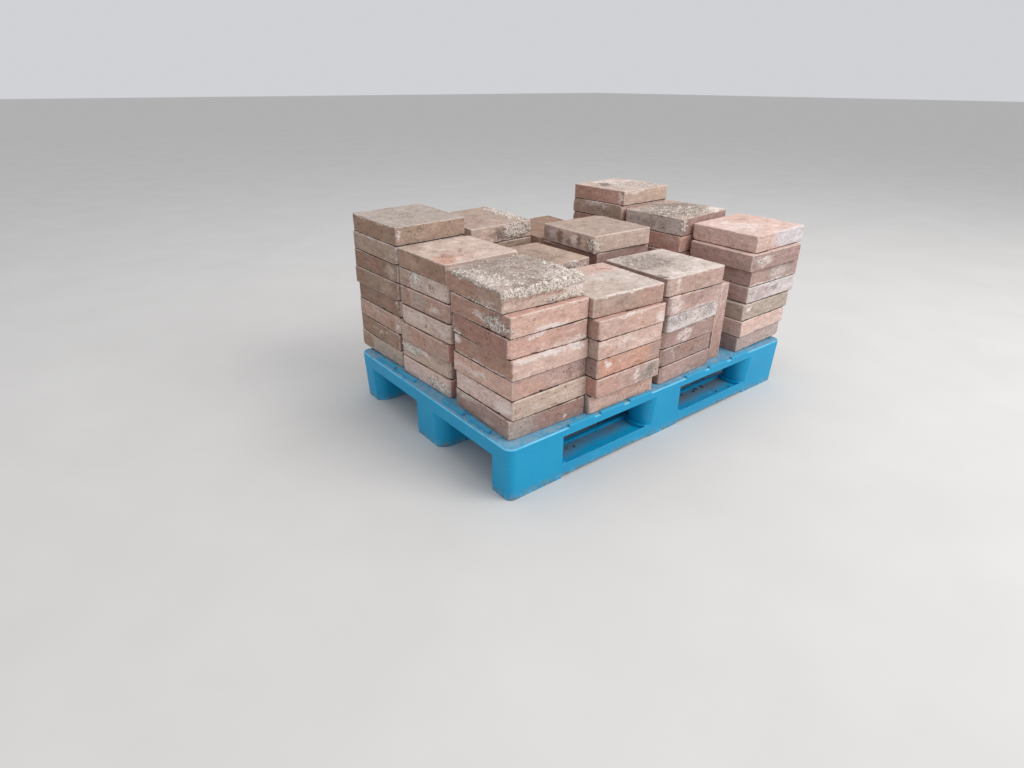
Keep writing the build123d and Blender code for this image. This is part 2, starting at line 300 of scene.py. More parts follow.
# Plan corners worn round, in millimetres: front left, front right, back right and back left
ROUND_CORNERS = {
    "tile_stack_front_3": (20, 7, 6, 8), "tile_stack_back_1": (13, 7, 6, 8),
    "tile_stack_middle_1": (12, 8, 6, 7), "tile_stack_middle_4": (14, 8, 6, 7),
}
PLAIN_CORNERS = (4, 4, 4, 4)

# A tile's grid: the first lines' distances from an arris in millimetres, the pitch of the others in
# metres, and how many lines a hidden face keeps round its middle
FINE_GRID = ((0, 0.8, 1.9, 3.6, 6.5, 11), 0.0044, 8)
PLAIN_GRID = ((0, 0.9, 2.2, 5, 10), 0.0068, 6)

# How far from an arris its wear and its painted highlight reach, in metres, and how much of the relief
# is left where a face is bedded, and on a top that is less than the headroom below the top of the whole load
ARRIS_REACH = 0.012
BEDDED_RELIEF = 0.15
HIGHEST_RELIEF = 0.2
HEADROOM = 0.006

# Noise of old mortar, which its colour and its relief share: scale, detail and roughness of its patches
# and of its lumps, how far the noise spreads the patches, and the mask at which mortar is in full
CRUST_PATCHES = (52, 7, 0.70)
CRUST_LUMPS = (85, 4, 0.65)
CRUST_SWAY = 1.5
CRUST_START = 0.15

# Thin coats in broken patches, by the name of their shader group
COATS = {
    "Lime Film": dict(scale=26, fine_scale=140, low=0.22, high=1.02, most=0.92,
                      broad_part=1.6, fine_part=1.6, flatten=2.2),
    "Grime Specks": dict(scale=45, fine_scale=260, low=0.40, high=0.66, most=0.72,
                         broad_part=0.7, fine_part=2.2, flatten=1.0),
    "Deck Dust": dict(scale=26, fine_scale=170, low=0.20, high=0.85, most=0.62,
                      broad_part=1.5, fine_part=1.3, flatten=1.0),
    "Trough Dust": dict(scale=7, fine_scale=150, low=0.05, high=1.25, most=0.88,
                        broad_part=1.9, fine_part=1.0, flatten=1.0),
}

# About one whole turn, in radians
WHOLE_TURN = 6.28


def linear(tone):
    """A tone's red, green and blue as the renderer's linear numbers."""
    part = np.array(TONES[tone], float) / 255
    return np.where(part < 0.04045, part / 12.92, ((part + 0.055) / 1.055) ** 2.4)


class TileWearSettings(bpy.types.PropertyGroup):
    """Sizes and colours of the worn tiles."""
    waviness: bpy.props.FloatProperty(
        name="Waviness", description="How far a tile's faces leave their plane", default=0.0009,
        min=0, max=0.01, unit="LENGTH")
    roughness: bpy.props.FloatProperty(
        name="Skin", description="Height of the fine unevenness of the fired skin", default=0.0006,
        min=0, max=0.01, unit="LENGTH")
    arris_radius: bpy.props.FloatProperty(
        name="Arris Radius", description="How far the arrises are worn round", default=0.0019,
        min=0.0005, max=0.01, unit="LENGTH")
    chip_depth: bpy.props.FloatProperty(
        name="Chip Depth", description="How deep the arrises are chipped", default=0.0042,
        min=0, max=0.03, unit="LENGTH")
    mortar_thickness: bpy.props.FloatProperty(
        name="Mortar Thickness", description="How proud old mortar stands", default=0.0052,
        min=0, max=0.02, unit="LENGTH")
    lime: bpy.props.FloatVectorProperty(
        name="Lime", description="Colour of the thin lime bloom", default=tuple(linear("lime")),
        subtype="COLOR", min=0, max=1)
    mortar: bpy.props.FloatVectorProperty(
        name="Mortar", description="Colour of the grains of old mortar", default=tuple(linear("mortar")),
        subtype="COLOR", min=0, max=1)
    crevice: bpy.props.FloatVectorProperty(
        name="Crevice", description="Colour of the dirt between the mortar's grains",
        default=tuple(linear("crevice")), subtype="COLOR", min=0, max=1)
    grime: bpy.props.FloatVectorProperty(
        name="Grime", description="Colour of soot and dry lichen", default=tuple(linear("soot")),
        subtype="COLOR", min=0, max=1)
    # Dark of the joints between tiles: dirt, and painted shade where tiles lie on each other
    joint: bpy.props.FloatVectorProperty(
        name="Joint", description="Colour of the dirt in the joints between tiles",
        default=tuple(linear("joint")), subtype="COLOR", min=0, max=1)
    seed: bpy.props.IntProperty(name="Seed", description="Changes every random choice", default=7, min=0)


class PalletFinishSettings(bpy.types.PropertyGroup):
    """Colours and dirt of the moulded pallet."""
    plastic: bpy.props.FloatVectorProperty(
        name="Plastic", description="Colour of the moulded plastic", default=tuple(linear("blue")),
        subtype="COLOR", min=0, max=1)
    # The Worn Plastic colour also paints the highlights on round edges, outer rims and lips
    worn: bpy.props.FloatVectorProperty(
        name="Worn Plastic", description="Colour of rubbed edges and scratches",
        default=tuple(linear("rubbed_and_sheen_blue")), subtype="COLOR", min=0, max=1)
    deck_dust: bpy.props.FloatVectorProperty(
        name="Deck Dust", description="Colour of the pale dust on the deck",
        default=tuple(linear("deck_dust")), subtype="COLOR", min=0, max=1)
    deck_cover: bpy.props.FloatProperty(
        name="Deck Dust Cover", description="How much of the deck its dust hides", default=0.6,
        min=0, max=1, subtype="FACTOR")
    trough_dust: bpy.props.FloatVectorProperty(
        name="Trough Dust", description="Colour of the dust in the runners' troughs",
        default=tuple(linear("trough_dust")), subtype="COLOR", min=0, max=1)
    trough_cover: bpy.props.FloatProperty(
        name="Trough Dust Cover", description="How much of the troughs their dust hides", default=0.85,
        min=0, max=1, subtype="FACTOR")
    clean_strip: bpy.props.FloatProperty(
        name="Clean Strip", description="How far rain keeps an open trough's outer side clean",
        default=0.048, min=0, unit="LENGTH")


class GritSettings(bpy.types.PropertyGroup):
    """Crumbs of clay and mortar, and grit on rough tiles."""
    smallest: bpy.props.FloatProperty(
        name="Smallest", description="Width of the smallest grain", default=0.0012, min=0, unit="LENGTH")
    largest: bpy.props.FloatProperty(
        name="Largest", description="Width of the largest grain", default=0.0065, min=0, unit="LENGTH")
    deck_density: bpy.props.FloatProperty(
        name="Deck Density", description="Grains on a square metre of open deck", default=4500, min=0)
    trough_density: bpy.props.FloatProperty(
        name="Trough Density", description="Grains on a square metre of a runner's trough",
        default=2600, min=0)
    tile_density: bpy.props.FloatProperty(
        name="Tile Density", description="Grains on a square metre of rough tile", default=16000, min=0)
    seed: bpy.props.IntProperty(name="Seed", description="Changes where the grains lie", default=11, min=0)


class StageSettings(bpy.types.PropertyGroup):
    """Floor, light and camera."""
    floor_size: bpy.props.FloatProperty(
        name="Floor", description="Width of the square floor", default=90, min=1, unit="LENGTH")
    lens: bpy.props.FloatProperty(
        name="Lens", description="Focal length of the camera in millimetres", default=21.8, min=1)
    camera_place: bpy.props.FloatVectorProperty(
        name="Camera", description="Where the camera stands", default=(-1.37895, -1.4001, 0.95779),
        subtype="TRANSLATION", unit="LENGTH")
    camera_turn: bpy.props.FloatVectorProperty(
        name="Camera Turn", description="Azimuth, elevation and roll of the view",
        default=(radians(-38.22), radians(26.02), radians(0.19)), subtype="EULER", unit="ROTATION")


def add(tree, kind, values=None, **settings):
    """A new node with its settings made, and each input set or joined to another node's output."""
    node = tree.nodes.new(kind)
    for name, value in settings.items():
        setattr(node, name, value)
    for key, value in (values or {}).items():
        if isinstance(value, bpy.types.NodeSocket):
            tree.links.new(value, node.inputs[key])
        else:
            node.inputs[key].default_value = value
    return node


def calc(tree, operation, *values):
    """The result of one sum on numbers."""
    return add(tree, "ShaderNodeMath", dict(enumerate(values)), operation=operation).outputs[0]


def times(tree, *values):
    """The product of two or more numbers."""
    return reduce(lambda so_far, value: calc(tree, "MULTIPLY", so_far, value), values)


def greatest(tree, *values):
    """The greatest of two or more numbers."""
    return reduce(lambda so_far, value: calc(tree, "MAXIMUM", so_far, value), values)


def sway(tree, field, width):
    """A noise field moved and drawn out to swing about nought, width from low to high."""
    return calc(tree, "MULTIPLY_ADD", field, width, -width / 2)


def ramp(tree, value, low, high, to_low=0.0, to_high=1.0):
    """value taken smoothly from the range low..high to another range."""
    node = add(tree, "ShaderNodeMapRange", {0: value, 1: low, 2: high, 3: to_low, 4: to_high},
               interpolation_type="SMOOTHSTEP")
    return node.outputs[0]


def opaque(colour):
    """A colour with full cover, as a socket wants it."""
    return (*colour, 1.0)


def blend_colours(tree, factor, first, second, how="MIX"):
    """Two colours blended by factor."""
    node = add(tree, "ShaderNodeMix", {0: factor, 6: first, 7: second}, data_type="RGBA", blend_type=how)
    return node.outputs[2]


def filtered(tree, colour, tint):
    """A colour multiplied by a tint, as if it were seen through it."""
    return blend_colours(tree, 1.0, colour, opaque(tint), "MULTIPLY")


def drawn_out(tree, place, height_scale):
    """A place whose heights are scaled, so that noise over it is drawn out along the level."""
    return add(tree, "ShaderNodeMapping", {"Vector": place, "Scale": (1.0, 1.0, height_scale)}).outputs[0]


def noise(tree, place, scale, detail=3.0, rough=0.55, seed=None):
    """A noise field over place, about 0.5 on average; a seed gives it another course."""
    values = {"Vector": place, "Scale": scale, "Detail": detail, "Roughness": rough}
    if seed is None:
        return add(tree, "ShaderNodeTexNoise", values).outputs[0]
    return add(tree, "ShaderNodeTexNoise", {**values, "W": seed}, noise_dimensions="4D").outputs[0]


def new_group(name, kind, inputs, outputs):
    """An empty node group with its sockets; each is (type, name) or (type, name, default)."""
    tree = bpy.data.node_groups.new(name, kind)
    for direction, sockets in (("INPUT", inputs), ("OUTPUT", outputs)):
        for socket_kind, socket_name, *default in sockets:
            made = tree.interface.new_socket(
                socket_name, in_out=direction, socket_type="NodeSocket" + socket_kind)
            if default:
                made.default_value = default[0]
    return tree, tree.nodes.new("NodeGroupInput"), tree.nodes.new("NodeGroupOutput")


def put_out(tree, result, **fields):
    """Joins fields to a group's outputs of the same names."""
    for name, field in fields.items():
        tree.links.new(field, result.inputs[name])
    return tree


def clay_group():
    """Fired clay: kiln clouds, drawn streaks, grain and pits, pale arrises that are partly rubbed wear and
    partly painted highlight, and joints darkened by dirt and painted shade.
    """
    tree, given, result = new_group("Fired Clay", "ShaderNodeTree", [
        ("Color", "Tint"), ("Color", "Joint Dirt"), ("Vector", "Place"), ("Float", "Arris", 0.0),
        ("Float", "Joint", 0.0)],
        [("Color", "Color"), ("Float", "Roughness"), ("Float", "Height")])
    tint, dirt, place, arris, joint = given.outputs[:5]
    clouds = noise(tree, place, 9, 3)
    streaks = noise(tree, drawn_out(tree, place, 2.8), 30, 7, 0.7)
    mottle = noise(tree, place, 95, 5, 0.70)
    grain = noise(tree, place, 300, 3, 0.66)
    darker = filtered(tree, tint, (0.60, 0.52, 0.48))
    paler = filtered(tree, tint, (1.34, 1.36, 1.39))
    greyer = blend_colours(tree, 0.32, tint, opaque((0.40, 0.36, 0.32)))
    dry = blend_colours(tree, 0.5, tint, opaque((0.82, 0.72, 0.66)))
    colour = tint
    for field, low, high, amount, other in (
            (clouds, 0.48, 0.70, 0.80, greyer),
            (streaks, 0.52, 0.64, 0.75, paler), (streaks, 0.47, 0.34, 0.65, darker),
            (mottle, 0.53, 0.66, 0.42, darker), (mottle, 0.46, 0.34, 0.42, paler),
            (grain, 0.53, 0.66, 0.34, darker), (grain, 0.46, 0.34, 0.32, paler)):
        colour = blend_colours(tree, ramp(tree, field, low, high, 0.0, amount), colour, other)
    pits = times(tree, ramp(tree, noise(tree, place, 190, 2), 0.63, 0.69),
                 ramp(tree, noise(tree, place, 27, 2), 0.48, 0.6))
    colour = blend_colours(tree, times(tree, pits, 0.7), colour, dirt)
    # Pale arrises: partly rubbed wear, partly a painted highlight along the arrises
    broken = ramp(tree, noise(tree, place, 55, 4), 0.34, 0.52)
    rubbed = times(tree, ramp(tree, arris, 0.62, 0.88), broken)
    colour = blend_colours(tree, times(tree, rubbed, 0.85), colour, dry)
    # Darker in the joints between tiles: dirt and painted shade, broken by the mottle
    uneven = calc(tree, "MULTIPLY_ADD", mottle, 0.9, calc(tree, "SUBTRACT", joint, 0.45))
    colour = blend_colours(tree, ramp(tree, uneven, 0.30, 0.85, 0.0, 0.94), colour, dirt)
    height = calc(tree, "MULTIPLY_ADD", mottle, 0.45, times(tree, grain, 0.4))
    height = calc(tree, "MULTIPLY_ADD", streaks, 0.5, height)
    height = calc(tree, "MULTIPLY_ADD", pits, -0.7, height)
    roughness = ramp(tree, mottle, 0.3, 0.7, 0.78, 0.95)
    return put_out(tree, result, Color=colour, Roughness=roughness, Height=height)


def patch_group(name, scale, fine_scale, low, high, most, broad_part, fine_part, flatten):
    """A coat in broken patches over another finish, where its mask says.

    Coarse noise of one scale and fine noise of another break it up, each as much as its part says.
    The coat starts at low, hides the most from high on, and flatten draws it out along the level.
    """
    tree, given, result = new_group(name, "ShaderNodeTree", [
        ("Color", "Under"), ("Color", "Coat"), ("Float", "Mask", 0.0), ("Vector", "Place")],
        [("Color", "Color"), ("Float", "Cover")])
    under, coat, mask, flat_place = given.outputs[:4]
    place = drawn_out(tree, flat_place, flatten)
    broad = sway(tree, noise(tree, place, scale, 5, 0.65), broad_part)
    fine = sway(tree, noise(tree, place, fine_scale, 4, 0.65), fine_part)
    spread = calc(tree, "ADD", mask, calc(tree, "ADD", broad, fine))
    cover = times(tree, ramp(tree, spread, low, high, 0.0, most), ramp(tree, mask, 0.0, 0.2))
    shade = ramp(tree, noise(tree, place, fine_scale * 1.4, 3), 0.42, 0.66, 0.0, 0.6)
    own = blend_colours(tree, shade, coat, filtered(tree, coat, (0.70, 0.64, 0.61)))
    return put_out(tree, result, Color=blend_colours(tree, cover, under, own), Cover=cover)


def crust_group():
    """Crumbly mortar: pale grains with dirt between them, thick where its mask says."""
    tree, given, result = new_group("Mortar Crust", "ShaderNodeTree", [
        ("Color", "Under"), ("Color", "Grains"), ("Color", "Crevices"), ("Float", "Mask", 0.0),
        ("Vector", "Place")],
        [("Color", "Color"), ("Float", "Height")])
    under, grains, crevices, mask, place = given.outputs[:5]
    broad = sway(tree, noise(tree, place, *CRUST_PATCHES), CRUST_SWAY)
    loose = sway(tree, noise(tree, place, 150, 4, 0.7), 1.1)
    spread = calc(tree, "ADD", mask, calc(tree, "ADD", broad, loose))
    cover = times(tree, ramp(tree, spread, 0.32, 0.52, 0.0, 0.94), ramp(tree, mask, 0.0, CRUST_START))
    crumbs = noise(tree, place, 210, 4, 0.72)
    lumps = noise(tree, place, *CRUST_LUMPS)
    low_spots = ramp(tree, lumps, 0.50, 0.66, 0.0, 0.36)
    dark = calc(tree, "MULTIPLY_ADD", ramp(tree, crumbs, 0.475, 0.56), 0.72, low_spots)
    own = blend_colours(tree, dark, grains, crevices)
    relief = calc(tree, "MULTIPLY_ADD", crumbs, -1.5, times(tree, lumps, -1.6))
    height = times(tree, cover, calc(tree, "ADD", relief, 2.4))
    return put_out(tree, result, Color=blend_colours(tree, cover, under, own), Height=height)


def new_material(name):
    """A new material with its node tree and its Principled shader."""
    material = bpy.data.materials.new(name)
    material.use_nodes = True
    return material, material.node_tree, material.node_tree.nodes["Principled BSDF"]


def lay_finish(tree, shader, colour, roughness, bump, gloss):
    """Joins a colour and a roughness to a shader; bump is its relief, its strength and its depth."""
    relief, strength, depth = bump
    bumps = add(tree, "ShaderNodeBump", {"Height": relief, "Strength": strength, "Distance": depth})
    tree.links.new(colour, shader.inputs["Base Color"])
    tree.links.new(roughness, shader.inputs["Roughness"])
    tree.links.new(bumps.outputs["Normal"], shader.inputs["Normal"])
    shader.inputs["Specular IOR Level"].default_value = gloss


def clay_material(settings, groups):
    """Fired clay under lime, grime and mortar, read from the attributes of the tile meshes."""
    material, tree, shader = new_material("fired_clay")

    def read(name, output="Fac"):
        return add(tree, "ShaderNodeAttribute", attribute_name=name).outputs[output]
    place = read("grain_place", "Vector")
    clay = add(tree, "ShaderNodeGroup", {
        "Tint": read("tint", "Color"), "Joint Dirt": opaque(settings.joint), "Place": place,
        "Arris": read("arris"), "Joint": read("joint")}, node_tree=groups["Fired Clay"])
    under = clay.outputs["Color"]
    coats = []
    for name, mask, colours in (
            ("Lime Film", "lime", {"Coat": settings.lime}),
            ("Grime Specks", "grime", {"Coat": settings.grime}),
            ("Mortar Crust", "mortar", {"Grains": settings.mortar, "Crevices": settings.crevice})):
        given = {"Under": under, "Mask": read(mask), "Place": place}
        given.update((key, opaque(colour)) for key, colour in colours.items())
        coats.append(add(tree, "ShaderNodeGroup", given, node_tree=groups[name]))
        under = coats[-1].outputs["Color"]
    lime, _, crust = coats
    height = calc(tree, "MULTIPLY_ADD", lime.outputs["Cover"], 0.3, clay.outputs["Height"])
    height = calc(tree, "ADD", crust.outputs["Height"], height)
    lay_finish(tree, shader, under, clay.outputs["Roughness"], (height, 0.75, 0.0020), 0.22)
    return material


def grit_material(name, dark, light):
    """Loose grains between two tones, each a little different from its neighbours."""
    material, tree, shader = new_material(name)
    place = add(tree, "ShaderNodeTexCoord").outputs["Object"]
    grains = noise(tree, place, 160, 2)
    colour = blend_colours(tree, ramp(tree, grains, 0.38, 0.62), opaque(linear(dark)), opaque(linear(light)))
    roughness = ramp(tree, grains, 0.3, 0.7, 0.8, 0.97)
    lay_finish(tree, shader, colour, roughness, (noise(tree, place, 900, 2), 0.4, 0.0006), 0.25)
    return material


class MouldedSurface:
    """What the plastic's wear, painted highlights and dust follow: place, height, distance out, slope and
    scratches.
    """

    def __init__(self, tree):
        self.tree = tree
        self.place = add(tree, "ShaderNodeTexCoord").outputs["Object"]
        split = add(tree, "ShaderNodeSeparateXYZ", {0: self.place})
        self.height = split.outputs["Z"]
        self.outward = calc(tree, "ABSOLUTE", split.outputs["Y"])
        normal = add(tree, "ShaderNodeNewGeometry").outputs["Normal"]
        self.upward = add(tree, "ShaderNodeSeparateXYZ", {0: normal}).outputs["Z"]
        self.flat = ramp(tree, self.upward, 0.90, 0.99)
        self.scratches = noise(tree, drawn_out(tree, self.place, 9.0), 24, 8, 0.72)

    def flat_at(self, level, reach):
        """1 where the surface is flat and as high as level, and 0 past reach from it."""
        apart = calc(self.tree, "ABSOLUTE", calc(self.tree, "SUBTRACT", self.height, level))
        return times(self.tree, self.flat, ramp(self.tree, apart, reach, reach * 0.6))

    def broken(self, scale, detail, low, high, to_low, to_high, rough=0.55):
        """Noise over the surface, taken smoothly from the range low..high to another range."""
        return ramp(self.tree, noise(self.tree, self.place, scale, detail, rough), low, high, to_low, to_high)


def rubbed_and_sheen_plastic(surface, deck, rim, half_width):
    """How pale the plastic is: rubbed by scuffs and at the feet, and painted highlights on the round edges,
    the outer rims and the lips.
    """
    tree, height = surface.tree, surface.height
    low_down = ramp(tree, height, 0.075, 0.015)
    scuffs = times(tree, ramp(tree, surface.scratches, 0.58, 0.68, 0.0, 0.5),
                   calc(tree, "MULTIPLY_ADD", low_down, 0.8, 0.35))
    feet = times(tree, ramp(tree, height, 0.022, 0.0), surface.broken(80, 5, 0.44, 0.6, 0.0, 0.55))
    # Painted highlight: a pale sheen on round edges that face partly up
    edges = times(tree, ramp(tree, surface.upward, 0.15, 0.45), calc(tree, "SUBTRACT", 1.0, surface.flat),
                  surface.broken(38, 4, 0.30, 0.55, 0.35, 0.85))
    outermost = ramp(tree, surface.outward, half_width - 0.016, half_width - 0.012)
    # Painted highlight along the flat tops of the outermost rims
    rims = times(tree, surface.flat_at(rim, 0.002), outermost, 0.42)
    # Painted highlight on the tops of the lips above the deck
    lips = ramp(tree, height, deck + 0.001, deck + 0.0035, 0.0, 0.24)
    return greatest(tree, scuffs, feet, edges, rims, lips)


def plastic_material(settings, groups, levels):
    """Moulded plastic: scuffs, rubbed feet, painted highlights on round edges, outer rims and lips, pale dust
    on the deck and brown dust in the troughs.

    levels holds the heights of the deck, of the rims and of the trough floors, and the half width.
    """
    deck, rim, floor, half_width = levels
    material, tree, shader = new_material("moulded_plastic")
    surface = MouldedSurface(tree)
    blue = opaque(settings.plastic)
    deep = filtered(tree, blue, (0.72, 0.86, 0.93))
    colour = blend_colours(tree, surface.broken(7, 4, 0.38, 0.68, 0.0, 0.6), blue, deep)
    # Pale where rubbed, and painted highlights on edges, rims and lips
    worn = rubbed_and_sheen_plastic(surface, deck, rim, half_width)
    colour = blend_colours(tree, worn, colour, opaque(settings.worn))
    on_deck = times(tree, surface.flat_at(deck, 0.002), settings.deck_cover)
    clean_from, fade = half_width - settings.clean_strip, 0.03
    wander = sway(tree, noise(tree, surface.place, 14, 4), 0.05)
    sheltered = ramp(tree, calc(tree, "ADD", surface.outward, wander),
                     clean_from + fade, clean_from - fade, 0.05, 1.0)
    in_trough = times(tree, surface.flat_at(floor, 0.003), sheltered, settings.trough_cover)
    covers = []
    for name, mask, coat in (("Deck Dust", on_deck, settings.deck_dust),
                             ("Trough Dust", in_trough, settings.trough_dust)):
        dust = add(tree, "ShaderNodeGroup", {
            "Under": colour, "Mask": mask, "Place": surface.place, "Coat": opaque(coat)},
            node_tree=groups[name])
        colour = dust.outputs["Color"]
        covers.append(dust.outputs["Cover"])
    splashes = times(tree, ramp(tree, surface.height, 0.03, 0.0),
                     surface.broken(55, 6, 0.40, 0.62, 0.0, 0.75, 0.7))
    grime = greatest(tree, splashes, surface.broken(21, 6, 0.58, 0.76, 0.0, 0.22, 0.7))
    colour = blend_colours(tree, grime, colour, opaque(linear("stone")))
    scratched = ramp(tree, surface.scratches, 0.3, 0.75, 0.38, 0.6)
    roughness = calc(tree, "MULTIPLY_ADD", greatest(tree, *covers), 0.4, scratched)
    grain = noise(tree, surface.place, 600, 2)
    relief = calc(tree, "MULTIPLY_ADD", grain, 0.3, times(tree, surface.scratches, 0.7))
    lay_finish(tree, shader, colour, roughness, (relief, 0.3, 0.0008), 0.4)
    return material


def shared_groups():
    """The shader groups that the materials share, made once and found by name."""
    groups = bpy.data.node_groups
    if "Fired Clay" not in groups:
        clay_group()
        crust_group()
        for name, numbers in COATS.items():
            patch_group(name, **numbers)
    return groups


def welded(mesh):
    """A CAD node's loose triangles as shared points and triangles between them."""
    places = np.empty(len(mesh.vertices) * 3)
    mesh.vertices.foreach_get("co", places)
    corners = np.empty(len(mesh.loops), int)
    mesh.loops.foreach_get("vertex_index", corners)
    points, inverse = np.unique(places.reshape(-1, 3).round(5), axis=0, return_inverse=True)
    return points, inverse.ravel()[corners].reshape(-1, 3)


def piece_of_each(triangles, count):
    """For each of count points the lowest point that triangles join it to, which names its piece."""
    label = np.arange(count)
    while True:
        lowest = label[triangles].min(axis=1)
        new = label.copy()
        for column in range(3):
            np.minimum.at(new, triangles[:, column], lowest)
        if (new == label).all():
            return label
        label = new


def slab(points, triangles):
    """A slab's centre, its three axes as rows with the thin way last, and its half sizes."""
    a, b, c = (points[triangles[:, i]] for i in range(3))
    normal = np.cross(b - a, c - a)
    facing = normal / np.linalg.norm(normal, axis=1, keepdims=True)
    mostly = 0.9
    up = normal[facing[:, 2] > mostly].sum(axis=0)
    up /= np.linalg.norm(up)
    side = normal[facing[:, 0] > mostly].sum(axis=0)
    side -= up * (side @ up)
    side /= np.linalg.norm(side)
    axes = np.array([side, np.cross(up, side), up])
    spans = points[np.unique(triangles)] @ axes.T
    half = (spans.max(axis=0) - spans.min(axis=0)) / 2
    centre = (spans.max(axis=0) + spans.min(axis=0)) / 2 @ axes
    if half[0] < half[2]:
        axes = np.array([-axes[2], axes[1], axes[0]])
        half = half[::-1]
    return centre, axes, half


def tiles_in(node):
    """Every tile of a CAD node, lowest first: its centre, its three axes as rows, and its half sizes."""
    points, triangles = welded(frame["nodes"][node].data)
    piece = piece_of_each(triangles, len(points))[triangles[:, 0]]
    found = [slab(points, triangles[piece == name]) for name in np.unique(piece)]
    return sorted(found, key=lambda tile: tile[0][2])


def steps(length, edge, pitch):
    """Distances from one end of a side to the other: fine at the arrises, even in the middle."""
    edge = np.array(edge) / 1000
    count = max(2, int(round((length - 2 * edge[-1]) / pitch)))
    middle = np.linspace(edge[-1], length - edge[-1], count + 1)[1:-1]
    return np.concatenate([edge, middle, length - edge[::-1]])


def blank(half, highest):
    """The surface grid of a slab, as its points and faces, with finer lines on the highest tile.

    A face that another tile or the deck hides has one large face in its middle.
    """
    edge, pitch, ring = FINE_GRID if highest else PLAIN_GRID
    xs, ys, zs = (steps(2 * h, edge, pitch) - h for h in half)
    last_x, last_y, last_z = len(xs) - 1, len(ys) - 1, len(zs) - 1
    index = {}
    points = []
    faces = []

    def at(i, j, k):
        key = (i, j, k)
        if key not in index:
            index[key] = len(points)
            points.append((xs[i], ys[j], zs[k]))
        return index[key]

    def upright(i, j, next_i, next_j, k):
        faces.append([at(i, j, k), at(next_i, next_j, k), at(next_i, next_j, k + 1), at(i, j, k + 1)])

    far_i, far_j = last_x - ring, last_y - ring
    for k, up in ((0, False), (last_z, True)):
        hidden = not (up and highest)
        for i in range(last_x):
            for j in range(last_y):
                if hidden and ring <= i < far_i and ring <= j < far_j:
                    continue
                quad = [at(i, j, k), at(i + 1, j, k), at(i + 1, j + 1, k), at(i, j + 1, k)]
                faces.append(quad if up else quad[::-1])
        if hidden:
            middle = [at(i, ring, k) for i in range(ring, far_i)]
            middle += [at(far_i, j, k) for j in range(ring, far_j)]
            middle += [at(i, far_j, k) for i in range(far_i, ring, -1)]
            middle += [at(ring, j, k) for j in range(far_j, ring, -1)]
            faces.append(middle if up else middle[::-1])
    for k in range(last_z):
        for i in range(last_x):
            upright(i, 0, i + 1, 0, k)
            upright(i + 1, last_y, i, last_y, k)
        for j in range(last_y):
            upright(0, j + 1, 0, j, k)
            upright(last_x, j, last_x, j + 1, k)
    return np.array(points), faces


def worn_shape(points, half, arris_radius, corner_radii):
    """The slab's points moved in, so that its arrises and its four upright corners are round."""
    shaped = points.copy()
    inset = np.maximum(0, np.minimum(half[0] - abs(shaped[:, 0]), half[1] - abs(shaped[:, 1])))
    depth = np.maximum(0, half[2] - abs(shaped[:, 2]))
    reach = np.stack([arris_radius - inset, arris_radius - depth], axis=1)
    near = (reach > 0).all(axis=1)
    longest = reach.max(axis=1)
    scale = np.where(near, longest / np.maximum(np.linalg.norm(reach, axis=1), 1e-9), 1)
    new_inset = np.where(near, arris_radius - reach[:, 0] * scale, inset)
    new_depth = np.where(near, arris_radius - reach[:, 1] * scale, depth)
    shaped[:, 2] = np.sign(shaped[:, 2]) * (half[2] - new_depth)
    for axis in (0, 1):
        other = half[axis] - inset
        shaped[:, axis] *= (half[axis] - new_inset) / np.maximum(other, 1e-9)
    outline = np.array([half[0], half[1]])[None] - new_inset[:, None]
    for (sign_x, sign_y), radius in zip(((-1, -1), (1, -1), (1, 1), (-1, 1)), corner_radii):
        pivot = outline - radius
        offset = np.stack([sign_x * shaped[:, 0], sign_y * shaped[:, 1]], axis=1) - pivot
        inside = (offset > 0).all(axis=1) & (pivot > 0).all(axis=1)
        factor = offset[inside].max(axis=1) / np.linalg.norm(offset[inside], axis=1)
        moved = pivot[inside] + offset[inside] * factor[:, None]
        shaped[inside, 0] = sign_x * moved[:, 0]
        shaped[inside, 1] = sign_y * moved[:, 1]
    return shaped


def chop(points, half, corner, depth, random):
    """Knocks one corner off: what stands past a slanting plane is pressed down to it."""
    direction = np.array(corner, float) * random.uniform(0.6, 1.4, 3)
    direction /= np.linalg.norm(direction)
    limit = (np.array(corner) * half) @ direction - depth
    past = np.maximum(0, points @ direction - limit)
    return points - past[:, None] * direction * random.uniform(0.8, 1.0)


def face_places(points, half):
    """For each face's name: how far each point is across and up that face, and whether it lies on it."""
    x, y, z = (points / half / 2 + 0.5).T
    reach = 0.006
    before = points < -half + reach
    beyond = points > half - reach
    return {
        FRONT: (x, z, before[:, 1]), BACK: (1 - x, z, beyond[:, 1]),
        LEFT: (1 - y, z, before[:, 0]), RIGHT: (y, z, beyond[:, 0]),
        TOP: (x, y, beyond[:, 2]), BED: (x, y, before[:, 2]),
    }


def joint_dirt_and_shade(world, local, half, axes, above):
    """How deep in a joint each point lies, at the bed arrises.

    A tile on its edge has no such joint, nor has an arris that the tile above leaves open. The clay is
    darkened in the joints: dirt and painted shade.
    """
    joint_reach, overlap = 0.004, 0.0015
    stands_on_edge = abs(axes[2][2]) < 0.5
    if stands_on_edge:
        return np.zeros(len(world))
    depth = np.clip(1 - (half[2] - abs(local[:, 2])) / joint_reach, 0, 1)
    roofed = np.zeros(len(world), bool)
    if above is not None:
        centre, its_axes, its_half = above
        offset = abs((world - centre) @ its_axes.T)[:, :2]
        roofed = (offset < its_half[:2] + overlap).all(axis=1)
    return np.where((local[:, 2] < 0) | roofed, depth, 0)


def kiln_tones(random):
    """Three tones of the kiln's mix, by chance."""
    return [KILN_MIX[i] for i in random.integers(0, len(KILN_MIX), 3)]


